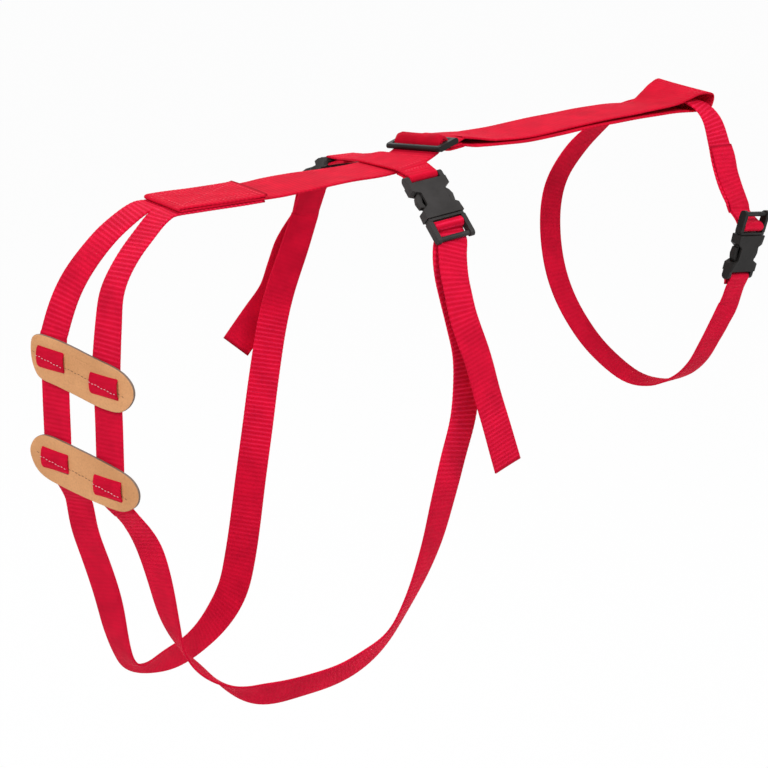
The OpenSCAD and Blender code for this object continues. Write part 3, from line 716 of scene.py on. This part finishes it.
near_low = [
    (-242, -28, -232, -68, 0), (-232.5, -29.5, -251, -66, 0), (-224.5, -31, -283, -73, 0),
    (-219, -32, -310, -84, 0), (-212, -35, -334, -104, 2), (-197, -39, -353, -118, 8), (-174, -44, -371, -124, 36),
    (-150, -50, -380, -125, 60), (-119, -56, -379, -125, 58), (-91, -61, -375, -125, 56),
    (-69, -66, -365, -125, 52), (-50, -72, -348, -127, 36), (-36, -79, -320, -146, 10), (-24, -86, -284, -162, 2),
    (-16, -92, -244, -172, 0), (-9, -96, -208, -176, 0), (-1, -99, -172, -177, 0), (1, -99, -130, -178, 0),
    (-3, -96, -104, -178, 0), (-7.4, -92.6, -82.4, -178, 0), (-8.6, -88.8, -69.5, -178, 0),
    (-6.7, -83.6, -57.7, -178, 1), (-3.3, -79.5, -50.2, -178, 2)]


def ladder_in(lean, skew=0):
    """The strap's last stretch, in by the end bar and up to the ladder bar."""
    return [(skew, END_BAR - 0.2 * lean, UNDER - PLY - 0.6 - 0.9 * lean),
            (0.4 * skew, LADDER + 4, UNDER - PLY - 0.6 - 0.3 * lean), (0, LADDER, UNDER - PLY + 0.2)]


def rear_strap(body, side, top, low, f, skew, free, flat_shade):
    """A rear strap from the tail patch through both tabs to its buckle; side is -1 for near and 1 for far.

    It dips on a slant at the tabs, has flatter ribs with painted shade there and in the listed areas, and hangs in
    easy curves. free gives the places where its end starts to follow the plug and where it wholly does. The last
    argument lists these areas as (start, end, amount), with distances from the strap's end; one without a start
    begins just below the lower tab.
    """
    start = stations(sewn_end(side) + top)
    path = (start + weave(UPPER, -side, 0, 0) + weave(LOWER, -side, 5, 7 - 2 * side)
            + stations(low) + local(f, ladder_in(0, skew), -side))
    upper, lower = (length_of(path[:len(start) + WEAVE_MIDDLE + WEAVE_LEN * k]) for k in (0, 1))
    full = length_of(path)
    flat = [between(lower + 22 if a is None else full - a, full - b, amount) for a, b, amount in flat_shade]
    # Calm areas flatten the ribs and darken them with painted shade: at both tabs, between them and in the areas
    # listed last.
    webbing(f"{body}_webbing", path, STRAP_W, RED,
            [("harness", [f"{body}_rear_strap"]),
             (("harness", f"{body}_plug_body", *free), [f"{body}_strap_end"])], cut=185,
            shears=[(upper, 15, SLANT), (lower, 15, SLANT)],
            calm=[(upper, 9, 0.75), (lower, 9, 0.75), ((upper + lower) / 2, 32, 0.55)] + flat,
            slack=[between(68, upper - 16), between(lower + 20, full - 60)])


rear_strap("near", -1, near_top, near_low, NEAR, 2, ((0, -99, -190), (-5, -86, -62)),
           [(None, 330, 0.75), (300, 190, 0.5)])
rear_strap("far", 1, far_top, far_low, FAR, 0, ((-44, 112, -185), (0, 124, -58)),
           [(None, 320, 0.75), (125, -40, 0.85)])


# ---- loose tails over the ladder bars ----

def ladder_out(f, side, lean, skew):
    """Over the ladder bar and out by the end bar, where a skewed tail turns aside at once."""
    places = [(LADDER - 0.7, UNDER - PLY + 0.7), (LADDER - WRAP + 0.2, -2.4),
              *arc((LADDER, 0), WRAP, 170, 0, 9), (0.2 * skew, LADDER + WRAP + 1, -2.5 - 0.2 * lean),
              (skew, END_BAR - 0.2 * lean, UNDER - 0.9 * lean)]
    if not skew:
        places.append((END_BAR + 5 - 0.2 * lean, UNDER - 1.4 - lean))
    return local(f, places, side)


near_tail_rows = [
    (-0.9, -82.6, -49.1, -178, 2), (-3.8, -87.4, -56.5, -177, 1), (-6.5, -92.9, -65.4, -177, 0),
    (-7.6, -98.1, -75.8, -177, 0), (-7, -106, -97, -178, 0), (2, -111, -127, -177, 0), (10, -114, -157, -176, 0),
    (19, -116, -187, -178, 0), (28, -116, -214, -180, 0)]
far_tail_rows = [
    (7, 130, -65, -186, 0), (-6, 133, -85, -190, 0), (-13, 134, -103, -194, 0), (-22, 134, -124, -196, 2),
    (-39, 134, -143, -198, 4), (-59, 133, -164, -198, 8)]
collar_tail_rows = [
    (304.2, -57.7, -41.7, 8, -3), (302.5, -53.3, -30.6, 7, -1), (302.9, -48.3, -18, 5, -1),
    (302.8, -43.8, -9.5, 5, -2)]
# The last entry of each row is how much the tail's ribs flatten and darken with painted shade.
for body, f, rows, side, lean, skew, flat_shade in (("near", NEAR, near_tail_rows, 1, 0, 1, 0.2),
                                              ("far", FAR, far_tail_rows, -1, 0, 0, 0.85),
                                              ("collar", COLLAR, collar_tail_rows, 1, COLLAR_LEAN, 0, 0.4)):
    webbing(f"{body}_tail_webbing", ladder_out(f, side, lean, skew) + stations(rows), STRAP_W, RED,
            [(f"{body}_plug_body", [f"{body}_tail"])], calm=[(75, 140, flat_shade)])


# ---- collar ----

collar_rows = [
    (296, -68, -139, 4, 0), (290, -66, -151, 4, 0), (284, -61, -168, 4, 0), (281, -50, -189, 5, 0),
    (275, -36, -204, 6, 0), (264, -18, -212, 7, 0), (251, 2, -208, 9, 0), (236, 25, -188, 10, 0),
    (225, 44, -162, 10, 0), (220, 61, -132, 10, 0), (220, 72, -100, 10, 0), (224, 78, -71, 9, 0),
    (232, 78, -46, 7, 0), (245, 70, -22, 2, 0), (260, 56, 0, 6, 0), (269, 42, 15, 17, -2),
    (278, 23, 23.4, 20, -2), (286, 0, 24.8, 20, -1), (293, -21, 23.4, 20, -4), (300.5, -33, 11.5, 12, -4),
    (303.4, -40.9, -8.5, 5, -2), (301.5, -48.8, -24.5, 4, 0), (301.4, -55.9, -39.6, 6, -2),
    (304.2, -61.8, -52.4, 8, -3)]
collar_path = (local(COLLAR, [(-7, -1.2), (-5, -1.6)]) + local(COLLAR, arc((0, 0), WRAP, -100, 100, 8))
               + local(COLLAR, [(-9, 1.3), (-17, 1)]) + stations(collar_rows)
               + local(COLLAR, ladder_in(COLLAR_LEAN)))
# Up to this distance the collar's ribs lie flat with strong painted shade, and beyond it with a little.
flat_shade_until = length_of(collar_path) - 175
webbing("collar_webbing", collar_path, STRAP_W, RED,
        [("harness", ["collar_strap"]),
         (("harness", "collar_plug_body", (298, -26, 14), (304, -60, -52)), ["collar_strap_end"])], cut=104,
        calm=[between(-60, flat_shade_until, 0.75), between(flat_shade_until, 9999, 0.3)])


# ---- leather tabs ----

# The rounding of a tab's edges, and how its dark rim fades in towards them.
TAB_ROUND, RIM_LIMIT, RIM_FADE = 0.6, 0.35, 0.3
# On each side a slit is nearer the strap's middle and narrower than the solid's, and a little shorter than the
# strap is wide; the last is how tight its corners are.
SLIT_INWARD, SLIT_SHORTER, SLIT_NARROWER, SLIT_CORNER = 0.8, 0.3, 1.4, 0.04


def cut_corners(points, share, rounds=1):
    """Swaps each corner for two points, a share of the way along the sides that meet there."""
    for _ in range(rounds):
        points = [tuple(a * (1 - t) + b * t for a, b in zip(p, q))
                  for p, q in zip(points, points[1:] + points[:1]) for t in (share, 1 - share)]
    return points


def slit(side, row):
    """One slit's outline, slanted like the strap that goes through it."""
    x, y = side * TAB_PITCH / 2 + row * SLIT_Y * LEAN, row * (SLIT_Y - SLIT_INWARD)
    w, h = STRAP_W / 2 - SLIT_SHORTER, SLIT_H / 2 - SLIT_NARROWER
    slant = (SLANT - LEAN) * w
    corners = [(x - w, y - h - slant), (x + w, y - h + slant), (x + w, y + h + slant), (x - w, y + h - slant)]
    return cut_corners(cut_corners(corners, SLIT_CORNER), 0.25, 2)


def bow_at(x):
    """How far a tab bows out of its plane at a distance along it."""
    return 0.9 * np.cos(x / (TAB_LEN / 2) * 1.4) - 0.5


def cut_leather(name, outline):
    """A flat mesh of leather within an outline, with four slits and rounded edges, fine enough to bend."""
    curve = bpy.data.curves.new(name, "CURVE")
    curve.dimensions, curve.fill_mode = "2D", "BOTH"
    curve.extrude, curve.bevel_depth, curve.bevel_resolution = (TAB_T / 2 - TAB_ROUND) * MM, TAB_ROUND * MM, 3
    for loop in [cut_corners(outline, 0.25, 2)] + [slit(side, row) for side in (-1, 1) for row in (-1, 1)]:
        spline = curve.splines.new("POLY")
        spline.points.add(len(loop) - 1)
        spline.use_cyclic_u = True
        for point, (x, y) in zip(spline.points, loop):
            point.co = (x * MM, y * MM, 0, 1)
    flat = add_object(name + "_cut", curve)
    mesh = bpy.data.meshes.new_from_object(flat.evaluated_get(bpy.context.evaluated_depsgraph_get()))
    bpy.data.objects.remove(flat)
    work = bmesh.new()
    work.from_mesh(mesh)
    bmesh.ops.remove_doubles(work, verts=work.verts, dist=0.02 * MM)
    bmesh.ops.triangulate(work, faces=[p for p in work.faces if len(p.verts) > 4])
    bmesh.ops.subdivide_edges(work, edges=[e for e in work.edges if e.calc_length() > 6 * MM], cuts=2)
    bmesh.ops.triangulate(work, faces=work.faces)
    bmesh.ops.recalc_face_normals(work, faces=work.faces)
    work.to_mesh(mesh)
    work.free()
    return mesh


def leather_tab(name, f, outline, node):
    """A tab cut from thick leather, slightly bowed, with a dark burnished rim."""
    mesh = cut_leather(name, outline)
    co = np.empty(len(mesh.vertices) * 3, np.float32)
    mesh.vertices.foreach_get("co", co)
    co = co.reshape(-1, 3) / MM
    mark_points(mesh, "rim", np.clip(1 - (np.abs(co[:, 2]) - (TAB_T / 2 - RIM_LIMIT)) / RIM_FADE, 0, 1))
    origin, x_dir, y_dir, z_dir = f
    up = co[:, 2:] + TAB_T / 2 + bow_at(co[:, 0])[:, None]
    placed = origin + co[:, :1] * x_dir + co[:, 1:2] * y_dir + up * z_dir
    mesh.vertices.foreach_set("co", (placed * MM).astype(np.float32).ravel())
    mesh.materials.clear()
    mesh.materials.append(LEATHER)
    tab = add_object(name, mesh)
    mesh.shade_smooth()
    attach(tab, "harness")
    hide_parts(node)


UPPER_CUT = [
    (-46, 7), (-42.5, 12.8), (-30, 15.2), (-11, 16.5), (10.5, 16), (34, 16.6), (46, 12), (51, 4.5), (49.5, -4.5),
    (44, -12), (37, -15.2), (21, -17), (2, -16.6), (-18, -16.8), (-31, -18), (-37, -14.8), (-43, -6)]
LOWER_CUT = [
    (-50, 0.5), (-46.5, 9.5), (-38, 15.4), (-14, 16.8), (13, 17.4), (38, 16.6), (47, 13), (52, 6.5),
    (51.5, -2.5), (43.5, -10.5), (35, -13.2), (12.5, -15.2), (-15, -16.6), (-31, -16.8), (-41, -13.6), (-48, -6)]
leather_tab("upper_leather_tab", UPPER, UPPER_CUT, "upper_tab")
leather_tab("lower_leather_tab", LOWER, LOWER_CUT, "lower_tab")


# ---- stitching ----

def make_stitch_tree():
    """Lays short rounded stitches along drawn runs, each turned to the surface that it is sewn through."""
    tree, given, out = group_of(
        "Geometry", "stitch run",
        [("Runs", "Geometry", None), ("Pitch", "Float", 4 * MM), ("Stitch length", "Float", 2.6 * MM),
         ("Thread", "Float", 0.8 * MM), ("Unevenness", "Float", 0.12), ("Finish", "Material", None)],
        [("Stitches", "Geometry")])
    curve = fill(tree, tree.nodes.new("GeometryNodeMeshToCurve"), {"Mesh": given["Runs"]})
    even = new_node(tree, "GeometryNodeResampleCurve", mode="LENGTH")
    places = fill(tree, even, {"Curve": curve[0], "Length": given["Pitch"]})
    tangent = tree.nodes.new("GeometryNodeInputTangent").outputs[0]
    ahead = fill(tree, new_node(tree, "FunctionNodeAlignRotationToVector", axis="X"), {"Vector": tangent})
    turn = new_node(tree, "FunctionNodeAlignRotationToVector", axis="Z", pivot_axis="X")
    turned = fill(tree, turn, {"Rotation": ahead[0], "Vector": stored(tree, "lie", "FLOAT_VECTOR")})
    wander = new_node(tree, "FunctionNodeRandomValue", data_type="FLOAT")
    wander.inputs["Seed"].default_value = 7
    tree.links.new(maths(tree, "SUBTRACT", 1.0, given["Unevenness"]), wander.inputs[2])
    tree.links.new(maths(tree, "ADD", 1.0, given["Unevenness"]), wander.inputs[3])
    bead = fill(tree, tree.nodes.new("GeometryNodeMeshUVSphere"), {"Segments": 8, "Rings": 5, "Radius": 0.5})
    size = tree.nodes.new("ShaderNodeCombineXYZ")
    tree.links.new(maths(tree, "MULTIPLY", given["Stitch length"], wander.outputs[1]), size.inputs[0])
    tree.links.new(given["Thread"], size.inputs[1])
    tree.links.new(maths(tree, "MULTIPLY", given["Thread"], 0.8), size.inputs[2])
    lay = tree.nodes.new("GeometryNodeInstanceOnPoints")
    laid = fill(tree, lay, {"Points": places[0], "Instance": bead[0], "Rotation": turned[0],
                            "Scale": size.outputs[0]})
    finish_off(tree, laid[0], given["Finish"], out["Stitches"])
    return tree


STITCH = make_stitch_tree()


def stitching(name, runs, finish, pitch, length, thread, nodes=()):
    """Sews a row of stitches along each run, given as (places, outward directions)."""
    places, lies, edges = [], [], []
    for spots, outs in runs:
        edges += [(len(places) + i, len(places) + i + 1) for i in range(len(spots) - 1)]
        places += [tuple(np.asarray(p) * MM) for p in spots]
        lies += [tuple(o) for o in outs]
    mesh = bpy.data.meshes.new(name)
    mesh.from_pydata(places, edges, [])
    mark_points(mesh, "lie", lies, "FLOAT_VECTOR", "vector")
    made = bake(add_object(name, mesh), STITCH, name, Pitch=pitch * MM, Stitch_length=length * MM,
                Thread=thread * MM, Finish=finish)
    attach(made, "harness")
    if nodes:
        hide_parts(*nodes)


LINE_POINTS, SEAM_POINTS = 24, 16
TACK_REACH, TACK_ROWS, TACK_STEP, TACK_SLANT = 9, 3, 1.1, 0.4


def sewn_line(path, side, ends, lift):
    """A line on a strap between two (distance along, distance across), on the face that side picks."""
    at, spot, across, out = lie_of(path)
    (a0, u0), (a1, u1) = ends
    spots, outs = [], []
    for t in np.linspace(0, 1, LINE_POINTS):
        a, u = a0 + (a1 - a0) * t, u0 + (u1 - u0) * t
        p, s, f = (np.array([np.interp(a, at, v[:, k]) for k in range(3)]) for v in (spot, across, out))
        spots.append(p + u * s + side * lift * f)
        outs.append(side * f)
    return spots, outs


def box_lines(a, b, edge, inset):
    """A box across a strap, from a to b along it, with a cross and two lengthwise lines inside."""
    c, d, inner = a + inset, b - inset, edge - inset
    return [[(a, edge), (b, edge)], [(a, -edge), (b, -edge)], [(a, -edge), (a, edge)], [(b, -edge), (b, edge)],
            [(c, inner), (d, -inner)], [(c, -inner), (d, inner)],
            [(c, inner), (d, inner)], [(c, -inner), (d, -inner)]]


def bar_tack(path, side, start):
    """Close rows of stitching right across a strap, which hold its folded end."""
    return [sewn_line(path, side, [(start + TACK_STEP * k, reach + TACK_SLANT * k)
                                   for reach in (-TACK_REACH, TACK_REACH)], 0.86) for k in range(TACK_ROWS)]


patch = [sewn_line(rear_path, -1, ends, 0.98) for ends in box_lines(4, 68, 21, 4)]
stitching("tail_patch_stitches", patch, RED_THREAD, pitch=3.6, length=2.7, thread=0.75,
          nodes=["tail_stitches"])
cross_len = length_of(cross_path)
tacks = [run for start in (33, 41, cross_len - 45, cross_len - 37) for run in bar_tack(cross_path, 1, start)]
tacks += bar_tack(collar_path, 1, 8) + bar_tack(collar_path, -1, 8)
stitching("bar_tacks", tacks, RED_THREAD, pitch=2.3, length=2.0, thread=0.45)

# The stretches of a tab's seam, with whether each goes over webbing, and its place across and above.
SEAM = ((-42, -38.6, False), (-36.6, -13.6, True), (-11, 11, False), (13.6, 36.6, True), (38.6, 42, False))
SEAM_Y, SEAM_SWAY, WEB_TOP = -0.8, 0.3, FRONT + 0.8 + 1.02


def tab_runs(f):
    """Splits a tab's seam into the runs over webbing and the runs over leather."""
    web, skin = [], []
    for a, b, over in SEAM:
        spots = [place_in(f, (x, SEAM_Y + SEAM_SWAY * math.sin(x * 0.7),
                              WEB_TOP if over else TAB_T + bow_at(x) + 0.1))
                 for x in np.linspace(a, b, SEAM_POINTS)]
        (web if over else skin).append((spots, [f[3]] * len(spots)))
    return web, skin


web_runs, skin_runs = [sum(runs, []) for runs in zip(tab_runs(UPPER), tab_runs(LOWER))]
stitching("tab_stitches_on_webbing", web_runs, PALE_THREAD, pitch=2.6, length=1.9, thread=0.7,
          nodes=["tab_stitches"])
stitching("tab_stitches_on_leather", skin_runs, BROWN_THREAD, pitch=2.8, length=2.2, thread=0.45)


# ---- moulded buckles and slider ----

# The least angle of a corner that is rounded, and how close two points must be to become one.
CORNER_ANGLE, WELD = 32, 0.02


def make_moulding_tree():
    """Marks the outer corners of a moulding, so that only these are rounded, and sets its finish."""
    tree, given, out = group_of(
        "Geometry", "outer corners", [("Moulding", "Geometry", None), ("Finish", "Material", None)],
        [("Moulding", "Geometry")])
    angle = tree.nodes.new("GeometryNodeInputMeshEdgeAngle").outputs["Signed Angle"]
    mark = new_node(tree, "GeometryNodeStoreNamedAttribute", data_type="FLOAT", domain="EDGE")
    marked_mesh = fill(tree, mark, {"Name": "bevel_weight_edge", "Geometry": given["Moulding"],
                                    "Value": maths(tree, "GREATER_THAN", angle, math.radians(CORNER_ANGLE))})
    finish_off(tree, marked_mesh[0], given["Finish"], out["Moulding"])
    return tree


OUTER_CORNERS = make_moulding_tree()


def dress_moulding(node, finish, width):
    """Finishes a moulded piece: merged faces, rounded outer edges and a moulded surface."""
    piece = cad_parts[node]
    piece.modifiers.new("merge", "WELD").merge_threshold = WELD * MM
    corners = piece.modifiers.new("outer corners", "NODES")
    corners.node_group = OUTER_CORNERS
    set_input(corners, "Finish", finish)
    edge = piece.modifiers.new("rounded edges", "BEVEL")
    edge.width, edge.segments, edge.limit_method = width * MM, 3, "WEIGHT"
    for slot in piece.material_slots:
        slot.material = finish


for body, finish in (("near", GREY), ("far", GREY), ("collar", BLACK)):
    for part, width in (("socket", 0.7), ("plug", 0.7), ("prong_a", 0.35), ("prong_b", 0.35)):
        dress_moulding(f"{body}_{part}", finish, width)
dress_moulding("back_slider", BLACK, 0.9)


# ---- floor and light backdrop ----

FLOOR_Z, FLOOR_REACH, WHITE_SHARE = -0.75, 16, 0.96


def white_where_seen(tree, shader, shown, share=1.0):
    """Shows white to the camera and in gloss, and the given shader to everything else."""
    path = tree.nodes.new("ShaderNodeLightPath")
    seen = maths(tree, "MAXIMUM", path.outputs["Is Camera Ray"], path.outputs["Is Glossy Ray"])
    mix = tree.nodes.new("ShaderNodeMixShader")
    for i, value in enumerate((maths(tree, "MULTIPLY", seen, share), shader, shown)):
        tree.links.new(value, mix.inputs[i])
    return mix.outputs[0]


def make_backdrop():
    """A studio that lights the piece softly and looks plain white."""
    world = bpy.data.worlds.new("studio")
    bpy.context.scene.world = world
    world.use_nodes = True
    tree = world.node_tree
    tree.nodes.clear()
    dim, plain = (fill(tree, new_node(tree, "ShaderNodeBackground"), {"Color": colour, "Strength": strength})[0]
                  for colour, strength in (((0.93, 0.95, 1.0, 1), 0.42), ((1, 1, 1, 1), 1.0)))
    tree.links.new(white_where_seen(tree, dim, plain), new_node(tree, "ShaderNodeOutputWorld").inputs[0])


def make_floor():
    """White paper beneath, which takes a faint shadow."""
    mesh = bpy.data.meshes.new("floor")
    corners = [(x * FLOOR_REACH, y * FLOOR_REACH, FLOOR_Z) for x, y in ((-1, -1), (1, -1), (1, 1), (-1, 1))]
    mesh.from_pydata(corners, [], [(0, 1, 2, 3)])
    paper, tree, shader = new_material("floor paper")
    mesh.materials.append(paper)
    fill(tree, shader, {"Base Color": (0.96, 0.96, 0.96, 1), "Roughness": 0.8})
    glow = fill(tree, new_node(tree, "ShaderNodeEmission"), {"Color": (1, 1, 1, 1), "Strength": 1.0})
    surface = white_where_seen(tree, shader.outputs[0], glow[0], WHITE_SHARE)
    tree.links.new(surface, tree.nodes["Material Output"].inputs["Surface"])
    return add_object("floor", mesh)


make_backdrop()
make_floor()
